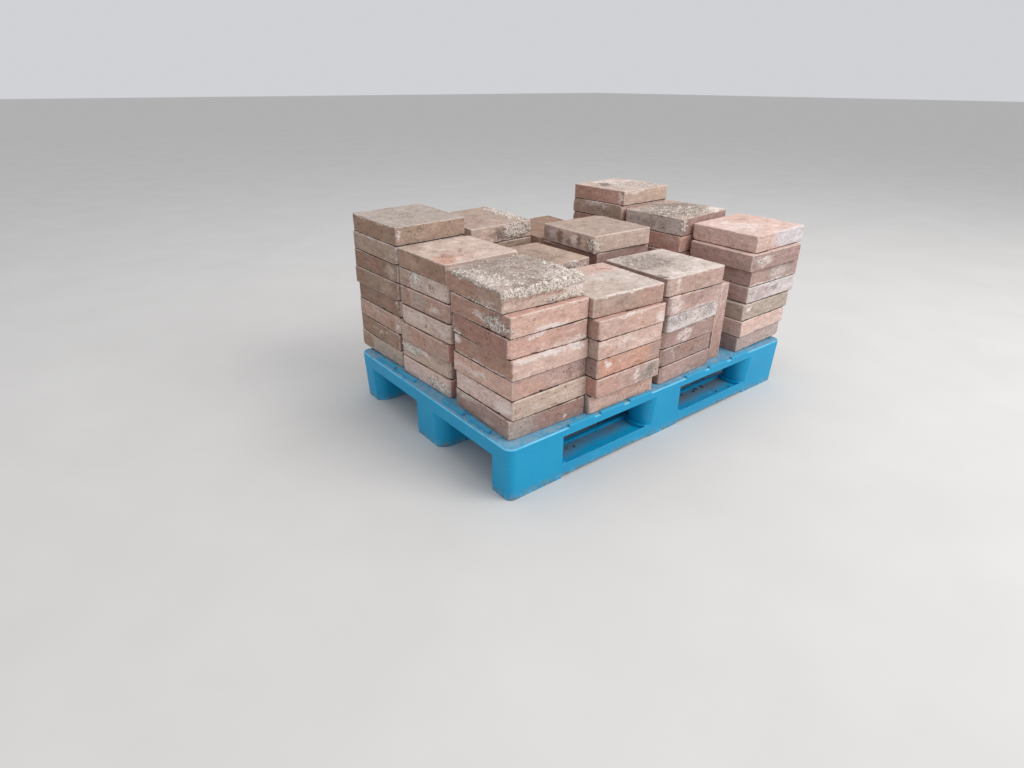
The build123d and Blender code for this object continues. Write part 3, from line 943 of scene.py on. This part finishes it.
def clay_tints(points, half, where, tones, swing, random):
    """The clay's colour at each point: each face in its own tone, blended over the arrises."""
    x, y, z = (points / half).T
    top_first = 1.001
    outward = {FRONT: -y, BACK: y, LEFT: -x, RIGHT: x, TOP: z * top_first, BED: -z}
    tint = np.zeros((len(points), 3))
    weight = np.zeros(len(points))
    for name, tone in tones.items():
        share = np.where(where[name][2], outward[name], 0) ** 60
        tint += share[:, None] * linear(tone) * random.uniform(1 - swing, 1 + swing)
        weight += share
    return tint / weight[:, None]


def soft_spot(u, v, on, middle, size):
    """How much of a soft oval spot covers each point; middle and size are shares of the face."""
    far = np.hypot((u - middle[0]) / size[0], (v - middle[1]) / size[1])
    rim, fade = 1.3, 0.6
    return np.where(on, np.clip((rim - far) / fade, 0, 1), 0)


def lay_marks(marks, where, tint, masks, random):
    """Lays a look's marks with wavy rims: a coat's goes into its mask, and a tone's into the tint."""
    wobble = random.uniform(0, WHOLE_TURN, 4)
    for kind, name, across, up, half_width, half_height, strength in marks:
        u, v, on = where[name]
        u = u + 0.02 * np.sin(v * 21 + wobble[0]) + 0.012 * np.sin(v * 57 + wobble[1])
        v = v + 0.05 * np.sin(u * 17 + wobble[2]) + 0.03 * np.sin(u * 49 + wobble[3])
        here = strength * soft_spot(u, v, on, (across, up), (half_width, half_height))
        if kind in masks:
            masks[kind] = np.maximum(masks[kind], here)
        else:
            tint += (linear(kind) - tint) * here[:, None]


def lay_chance_stains(faces, where, masks, random):
    """Lays lime and grime by chance on some of the faces."""
    strength = 0.6
    for kind, chance in (("lime", 0.35), ("grime", 0.3)):
        for name in faces:
            if random.random() < chance:
                size = random.uniform(0.1, 0.3, 2)
                middle = random.uniform(0.1, 0.9, 2)
                here = strength * soft_spot(*where[name], middle, size)
                masks[kind] = np.maximum(masks[kind], here)


def weathered_tile(tile, above, look, arris_radius, corner_radii, random):
    """One tile's points in the row frame, its faces, tints, places for the grain, and attributes.

    above is the tile that lies on it, or None for the highest tile of a stack.
    """
    centre, axes, half = tile
    highest = above is None
    points, faces = blank(half, highest)
    where = face_places(points, half)
    exposed = np.ones(len(points))
    exposed[where[BED][2]] = BEDDED_RELIEF
    if not highest:
        exposed[where[TOP][2]] = BEDDED_RELIEF
    elif cad_box[1][2] - centre[2] - half[2] < HEADROOM:
        exposed[where[TOP][2]] = HIGHEST_RELIEF

    tones, marks = look
    # The left side's tone is partly dirt and partly painted shade
    front, left, top = tones.split()
    back, right, bed = kiln_tones(random)
    tone_of = {FRONT: front, LEFT: left, TOP: top, BACK: back, RIGHT: right, BED: bed}
    swing = 0.0 if marks else 0.07
    tint = clay_tints(points, half, where, tone_of, swing, random)
    masks = {kind: np.zeros(len(points)) for kind in ("lime", "grime", "mortar", "grit")}
    lay_marks(marks, where, tint, masks, random)
    lay_chance_stains((BACK, RIGHT) if marks else (BACK, RIGHT, FRONT, LEFT), where, masks, random)

    radius = arris_radius * random.uniform(0.75, 1.35)
    shaped = worn_shape(points, half, radius, [r / 1000 for r in corner_radii])
    chance, least_knock, deepest_knock = 0.2, 0.003, 0.009
    for corner in product((-1, 1), repeat=3):
        if random.random() < chance:
            shaped = chop(shaped, half, corner, random.uniform(least_knock, deepest_knock), random)
    grain_place = points + random.uniform(-5, 5, 3)
    world = shaped @ axes + centre
    second_nearest = np.sort(half - abs(points), axis=1)[:, 1]
    arris = np.clip(1 - second_nearest / ARRIS_REACH, 0, 1)
    joint = joint_dirt_and_shade(world, points, half, axes, above)
    return world, faces, tint, grain_place, dict(masks, arris=arris, exposed=exposed, joint=joint)


def pour(mesh, name, kind, field, values):
    """Writes one attribute of a mesh's points."""
    made = mesh.attributes.new(name, kind, "POINT")
    made.data.foreach_set(field, np.ascontiguousarray(values, np.float32).ravel())


def stack_mesh(node, arris_radius, random):
    """All the tiles of a CAD node as one mesh with its attributes."""
    tiles = tiles_in(node)
    looks = LOOKS.get(node, [])
    places, faces, tints, grains, extra = [], [], [], [], []
    start = 0
    for level, tile in enumerate(tiles):
        from_top = len(tiles) - 1 - level
        look = looks[from_top] if from_top < len(looks) else (" ".join(kiln_tones(random)), [])
        corners = [radius * random.uniform(0.6, 1.25) for radius in ROUND_CORNERS.get(node, PLAIN_CORNERS)]
        above = tiles[level + 1] if from_top else None
        points, quads, tint, grain, attributes = weathered_tile(
            tile, above, look, arris_radius, corners, random)
        places.append(points)
        faces += [[v + start for v in face] for face in quads]
        start += len(points)
        tints.append(np.hstack([tint, np.ones((len(tint), 1))]))
        grains.append(grain)
        extra.append(attributes)
    mesh = bpy.data.meshes.new(node)
    mesh.from_pydata(np.concatenate(places).tolist(), [], faces)
    pour(mesh, "tint", "FLOAT_COLOR", "color", np.concatenate(tints))
    pour(mesh, "grain_place", "FLOAT_VECTOR", "vector", np.concatenate(grains))
    for name in extra[0]:
        pour(mesh, name, "FLOAT", "value", np.concatenate([part[name] for part in extra]))
    return mesh


def stored(tree, name, kind="FLOAT"):
    """A named attribute of the mesh that a geometry tree works on."""
    return add(tree, "GeometryNodeInputNamedAttribute", {"Name": name}, data_type=kind).outputs["Attribute"]


def scaled(tree, vector, size):
    """A vector drawn out by size."""
    return add(tree, "ShaderNodeVectorMath", {0: vector, "Scale": size}, operation="SCALE").outputs["Vector"]


def close_tree(tree, geometry, material, result):
    """Ends a geometry tree: its instances are made real and its material is set."""
    tree.is_modifier = True
    real = add(tree, "GeometryNodeRealizeInstances", {"Geometry": geometry})
    painted = add(tree, "GeometryNodeSetMaterial", {"Geometry": real.outputs[0], "Material": material})
    return put_out(tree, result, Geometry=painted.outputs[0])


def weathering_tree():
    """Unevenness, chipped arrises and proud mortar on the surface of a tile blank."""
    tree, given, result = new_group("Weathered Tiles", "GeometryNodeTree", [
        ("Geometry", "Geometry"), ("Float", "Waviness", 0.001), ("Float", "Skin", 0.0006),
        ("Float", "Chip Depth", 0.006), ("Float", "Mortar", 0.004), ("Float", "Seed", 1.0),
        ("Material", "Material")], [("Geometry", "Geometry")])
    geometry, waviness, skin, chip_depth, mortar, seed, material = given.outputs[:7]
    place = stored(tree, "grain_place", "FLOAT_VECTOR")
    mask = stored(tree, "mortar")
    wave = calc(tree, "SUBTRACT", noise(tree, place, 9, 2, seed=seed), 0.5)
    fine = calc(tree, "SUBTRACT", noise(tree, place, 75, 5, 0.65, seed=seed), 0.5)
    offset = calc(tree, "MULTIPLY_ADD", fine, times(tree, skin, 2.5), times(tree, waviness, 2.5, wave))
    small = ramp(tree, noise(tree, place, 60, 4, 0.62, seed=seed), 0.55, 0.68)
    large = ramp(tree, noise(tree, place, 15, 4, 0.62, seed=seed), 0.60, 0.70)
    chipped = calc(tree, "MULTIPLY_ADD", large, 0.9, times(tree, small, 0.45))
    edge = calc(tree, "POWER", stored(tree, "arris"), 2.2)
    chips = times(tree, edge, chip_depth, chipped)
    spread = calc(tree, "ADD", mask, sway(tree, noise(tree, place, *CRUST_PATCHES), CRUST_SWAY))
    cover = times(tree, ramp(tree, spread, 0.32, 0.6), ramp(tree, mask, 0.0, CRUST_START))
    lumps = ramp(tree, noise(tree, place, *CRUST_LUMPS), 0.66, 0.34, 0.25, 1.0)
    crust = times(tree, cover, lumps, mortar)
    proud = times(tree, calc(tree, "ADD", offset, crust), stored(tree, "exposed"))
    shift = calc(tree, "SUBTRACT", proud, chips)
    normal = add(tree, "GeometryNodeInputNormal").outputs[0]
    moved = add(tree, "GeometryNodeSetPosition", {
        "Geometry": geometry, "Offset": scaled(tree, normal, shift)})
    smooth = add(tree, "GeometryNodeSetShadeSmooth", {"Geometry": moved.outputs[0]})
    return close_tree(tree, smooth.outputs[0], material, result)


def grit_tree():
    """Irregular grains strewn over a surface, as thick as its grit attribute says."""
    tree, given, result = new_group("Strewn Grit", "GeometryNodeTree", [
        ("Geometry", "Geometry"), ("Float", "Density", 5000.0), ("Float", "Smallest", 0.001),
        ("Float", "Largest", 0.006), ("Int", "Seed", 1), ("Material", "Material")],
        [("Geometry", "Geometry")])
    geometry, density, smallest, largest, seed, material = given.outputs[:6]

    def by_chance(low, high):
        """A vector for each grain, between two others."""
        return add(tree, "FunctionNodeRandomValue", {0: low, 1: high, "Seed": seed},
                   data_type="FLOAT_VECTOR").outputs[0]
    spots = add(tree, "GeometryNodeDistributePointsOnFaces", {
        "Mesh": geometry, "Density": times(tree, stored(tree, "grit"), density), "Seed": seed})
    grain = add(tree, "GeometryNodeMeshIcoSphere", {"Radius": 0.5, "Subdivisions": 1})
    chance = add(tree, "FunctionNodeRandomValue", {2: 0.0, 3: 1.0, "Seed": seed}, data_type="FLOAT")
    size = ramp(tree, calc(tree, "POWER", chance.outputs[1], 3.0), 0.0, 1.0, smallest, largest)
    stretch = by_chance((0.6, 0.6, 0.35), (1.2, 1.2, 0.8))
    turn = by_chance((0, 0, 0), (WHOLE_TURN, WHOLE_TURN, WHOLE_TURN))
    strewn = add(tree, "GeometryNodeInstanceOnPoints", {
        "Points": spots.outputs["Points"], "Instance": grain.outputs["Mesh"],
        "Scale": scaled(tree, stretch, size), "Rotation": turn})
    return close_tree(tree, strewn.outputs[0], material, result)


def through_tree(name, mesh, tree, values):
    """A new object whose mesh is what the tree makes of another one; values are its inputs by name."""
    source = bpy.data.objects.new(name + "_blank", mesh)
    bpy.context.scene.collection.objects.link(source)
    modifier = source.modifiers.new(tree.name, "NODES")
    modifier.node_group = tree
    sockets = {item.name: item.identifier for item in tree.interface.items_tree
               if item.item_type == "SOCKET" and item.in_out == "INPUT"}
    for key, value in values.items():
        modifier[sockets[key]] = value
    bpy.context.view_layer.update()
    evaluated = source.evaluated_get(bpy.context.evaluated_depsgraph_get())
    made = bpy.data.meshes.new_from_object(evaluated)
    made.name = name
    bpy.data.objects.remove(source)
    piece = bpy.data.objects.new(name, made)
    bpy.context.scene.collection.objects.link(piece)
    return piece


def press_into_box(mesh):
    """Presses what stands proud of the CAD model's box back to its sides."""
    places = np.empty(len(mesh.vertices) * 3, np.float32)
    mesh.vertices.foreach_get("co", places)
    low, high = (np.array(corner, np.float32) for corner in cad_box)
    mesh.vertices.foreach_set("co", np.clip(places.reshape(-1, 3), low, high).ravel())
    mesh.update()


def once(name, make):
    """A node tree by name, made the first time it is asked for."""
    return bpy.data.node_groups.get(name) or make()


def upward_levels(mesh):
    """The heights at which a mesh has level faces that look up, the largest area first."""
    areas = {}
    for face in mesh.polygons:
        if face.normal.z > 0.999:
            level = round(face.center.z, 4)
            areas[level] = areas.get(level, 0) + face.area
    return sorted(areas, key=areas.get, reverse=True)


def shape_tree(nodes):
    """CAD nodes as one tree that rays can be cast at."""
    points, faces = [], []
    for node in nodes:
        mesh = frame["nodes"][node].data
        start = len(points)
        points += [v.co.copy() for v in mesh.vertices]
        faces += [[start + v for v in face.vertices] for face in mesh.polygons]
    return BVHTree.FromPolygons(points, faces)


def drift(x, y):
    """How gritty a place is, from 0.25 to 1, in soft drifts."""
    return 0.25 + 0.75 * (0.5 + 0.5 * sin(x * 31 + 1.7) * cos(y * 27)) ** 1.5


def open_squares(name, level):
    """Small squares over the pallet's faces at one level that no tile covers, each with its grit."""
    pallet = shape_tree(["pallet"])
    tiles = shape_tree([node for node in frame["nodes"] if "tile" in node])
    low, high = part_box("pallet")
    pitch, margin, drop, headroom, lift, tolerance = 0.009, 0.010, 0.02, 0.012, 0.0003, 0.001
    down, up = Vector((0, 0, -1)), Vector((0, 0, 1))

    def is_open(x, y):
        spot = pallet.ray_cast(Vector((x, y, level + drop)), down, drop * 2)[0]
        roof = tiles.ray_cast(Vector((x, y, level + lift)), up, headroom)[0]
        return spot is not None and abs(spot.z - level) < tolerance and roof is None
    columns = np.arange(low.x + margin, high.x - margin, pitch)
    rows = np.arange(low.y + margin, high.y - margin, pitch)
    flags = np.array([[is_open(x, y) for y in rows] for x in columns])
    places, faces, amounts = [], [], []
    for i, j in np.argwhere(flags[:-1, :-1] & flags[1:, :-1] & flags[:-1, 1:] & flags[1:, 1:]):
        x, y, z = columns[i], rows[j], level + lift
        start = len(places)
        places += [(x, y, z), (x + pitch, y, z), (x + pitch, y + pitch, z), (x, y + pitch, z)]
        faces.append((start, start + 1, start + 2, start + 3))
        amounts += [drift(x, y)] * 4
    mesh = bpy.data.meshes.new(name)
    mesh.from_pydata(places, [], faces)
    pour(mesh, "grit", "FLOAT", "value", amounts)
    return mesh


class TILES_OT_dress_pallet(bpy.types.Operator):
    """Gives the moulded pallet its worn blue plastic"""
    bl_idname = "tiles.dress_pallet"
    bl_label = "Dress Pallet"

    def execute(self, context):
        pallet = frame["nodes"]["pallet"]
        if not pallet.material_slots:
            raise RuntimeError("the pallet has no material slot to fill")
        deck, floor, rim = upward_levels(pallet.data)[:3]
        levels = (deck, rim, floor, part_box("pallet")[1].y)
        material = plastic_material(context.scene.pallet_finish, shared_groups(), levels)
        for slot in pallet.material_slots:
            slot.link = "OBJECT"
            slot.material = material
        return {"FINISHED"}


class TILES_OT_lay_tiles(bpy.types.Operator):
    """Lays the stacks of worn tiles, and stands the single tile on its edge"""
    bl_idname = "tiles.lay_tiles"
    bl_label = "Lay Tiles"

    def execute(self, context):
        wear = context.scene.tile_wear
        tree = once("Weathered Tiles", weathering_tree)
        material = clay_material(wear, shared_groups())
        nodes = sorted(name for name in frame["nodes"] if "tile" in name)
        if not nodes:
            raise RuntimeError("the frame has no tiles")
        for number, node in enumerate(nodes):
            random = np.random.default_rng(wear.seed * 100 + number)
            name = node.replace("tile_stack", "tiles").replace("upright_tile", "tile_on_edge")
            piece = through_tree(name, stack_mesh(node, wear.arris_radius, random), tree, {
                "Waviness": wear.waviness, "Skin": wear.roughness, "Chip Depth": wear.chip_depth,
                "Mortar": wear.mortar_thickness, "Seed": float(wear.seed), "Material": material})
            press_into_box(piece.data)
            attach(piece, BODY)
            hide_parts(node)
        return {"FINISHED"}


class TILES_OT_strew_grit(bpy.types.Operator):
    """Strews crumbs of clay and mortar on the open deck, the runners and the rough tiles"""
    bl_idname = "tiles.strew_grit"
    bl_label = "Strew Grit"

    def execute(self, context):
        settings = context.scene.grit
        tree = once("Strewn Grit", grit_tree)
        clay = grit_material("clay_grit", "umber", "cream")
        stone = grit_material("stone_grit", "dark_stone", "stone")
        deck, floor = upward_levels(frame["nodes"]["pallet"].data)[:2]
        deck_size, trough_size, tile_size = 1.0, 1.9, 0.55
        seed = settings.seed
        for name, level, density, size, material in (
                ("grit_on_deck", deck, settings.deck_density, deck_size, clay),
                ("grit_in_troughs", floor, settings.trough_density, trough_size, stone)):
            seed += 1
            piece = through_tree(name, open_squares(name, level), tree, {
                "Density": density, "Seed": seed, "Smallest": settings.smallest,
                "Largest": settings.largest * size, "Material": material})
            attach(piece, BODY)
        stacks = [o for o in context.scene.objects if o.name.startswith("tiles_")]
        for stack in sorted(stacks, key=lambda o: o.name):
            grit = np.empty(len(stack.data.vertices), np.float32)
            stack.data.attributes["grit"].data.foreach_get("value", grit)
            if grit.max() <= 0:
                continue
            seed += 1
            piece = through_tree("grit_on_" + stack.name, stack.data.copy(), tree, {
                "Density": settings.tile_density, "Seed": seed, "Smallest": settings.smallest,
                "Largest": settings.largest * tile_size, "Material": clay})
            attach(piece, BODY)
        return {"FINISHED"}


def link_new(name, data):
    """A new object with its data, in the scene."""
    made = bpy.data.objects.new(name, data)
    bpy.context.scene.collection.objects.link(made)
    return made


def lay_floor(size):
    """A plain pale floor, square and size wide."""
    half = size / 2
    mesh = bpy.data.meshes.new("floor")
    mesh.from_pydata([(-half, -half, 0), (half, -half, 0), (half, half, 0), (-half, half, 0)], [],
                     [(0, 1, 2, 3)])
    material, tree, shader = new_material("pale_floor")
    place = add(tree, "ShaderNodeTexCoord").outputs["Object"]
    colour = blend_colours(tree, noise(tree, place, 3, 3), opaque((0.62, 0.61, 0.59)),
                           opaque((0.70, 0.69, 0.67)))
    tree.links.new(colour, shader.inputs["Base Color"])
    shader.inputs["Roughness"].default_value = 0.9
    mesh.materials.append(material)
    return link_new("floor", mesh)


def light_room(scene):
    """A soft pale room, a large lamp from the front right and another from above."""
    world = bpy.data.worlds.new("soft_room")
    world.use_nodes = True
    world.node_tree.nodes["Background"].inputs["Color"].default_value = (0.95, 0.96, 1.0, 1)
    world.node_tree.nodes["Background"].inputs["Strength"].default_value = 0.67
    scene.world = world
    for name, place, target, width, energy in (
            ("key_light", (1.6, -3.4, 3.6), (0.1, 0, 0.3), 3.0, 142),
            ("top_light", (0.2, 0.6, 4.2), (0, 0, 0.3), 4.0, 36)):
        lamp = bpy.data.lights.new(name, "AREA")
        lamp.size = width
        lamp.energy = energy
        lamp.color = (1.0, 0.985, 0.975)
        holder = link_new(name, lamp)
        holder.location = place
        holder.rotation_euler = (Vector(target) - Vector(place)).to_track_quat("-Z", "Y").to_euler()


def set_camera(scene, stage):
    """The camera at its place, turned by its azimuth, elevation and roll."""
    azimuth, elevation, roll = stage.camera_turn
    back = Vector((sin(azimuth) * cos(elevation), -cos(azimuth) * cos(elevation), sin(elevation)))
    right = Vector((0, 0, 1)).cross(back).normalized()
    up = back.cross(right)
    across = right * cos(roll) + up * sin(roll)
    data = bpy.data.cameras.new("camera")
    data.sensor_width = 36
    data.lens = stage.lens
    data.clip_end = 100
    camera = link_new("camera", data)
    turn = Matrix((across, back.cross(across), back)).transposed().to_4x4()
    camera.matrix_world = Matrix.Translation(stage.camera_place) @ turn
    scene.camera = camera


class TILES_OT_set_stage(bpy.types.Operator):
    """Sets the plain floor, the soft lights and the camera"""
    bl_idname = "tiles.set_stage"
    bl_label = "Set Stage"

    def execute(self, context):
        scene = context.scene
        floor = lay_floor(scene.stage_settings.floor_size)
        light_room(scene)
        set_camera(scene, scene.stage_settings)
        scene.view_settings.view_transform = "Standard"
        return {"FINISHED"}


class TILES_PT_panel(bpy.types.Panel):
    """Shows each group of settings with the button that uses it"""
    bl_idname = "TILES_PT_panel"
    bl_label = "Pallet of Tiles"
    bl_space_type = "VIEW_3D"
    bl_region_type = "UI"
    bl_category = "Tiles"

    def draw(self, context):
        for operator, group in ((TILES_OT_dress_pallet, "pallet_finish"), (TILES_OT_lay_tiles, "tile_wear"),
                                (TILES_OT_strew_grit, "grit"), (TILES_OT_set_stage, "stage_settings")):
            box = self.layout.box()
            settings = getattr(context.scene, group)
            for name in settings.bl_rna.properties.keys():
                if name not in ("rna_type", "name"):
                    box.prop(settings, name)
            box.operator(operator.bl_idname)


SETTINGS = {"tile_wear": TileWearSettings, "pallet_finish": PalletFinishSettings,
            "grit": GritSettings, "stage_settings": StageSettings}
CLASSES = (*SETTINGS.values(), TILES_OT_dress_pallet, TILES_OT_lay_tiles, TILES_OT_strew_grit,
           TILES_OT_set_stage, TILES_PT_panel)


def register():
    for made in CLASSES:
        bpy.utils.register_class(made)
    for name, kind in SETTINGS.items():
        setattr(bpy.types.Scene, name, bpy.props.PointerProperty(type=kind))


def unregister():
    for name in SETTINGS:
        delattr(bpy.types.Scene, name)
    for made in reversed(CLASSES):
        bpy.utils.unregister_class(made)


def main():
    register()
    bpy.ops.tiles.set_stage()
    bpy.ops.tiles.dress_pallet()
    bpy.ops.tiles.lay_tiles()
    bpy.ops.tiles.strew_grit()


if __name__ == "__main__":
    main()
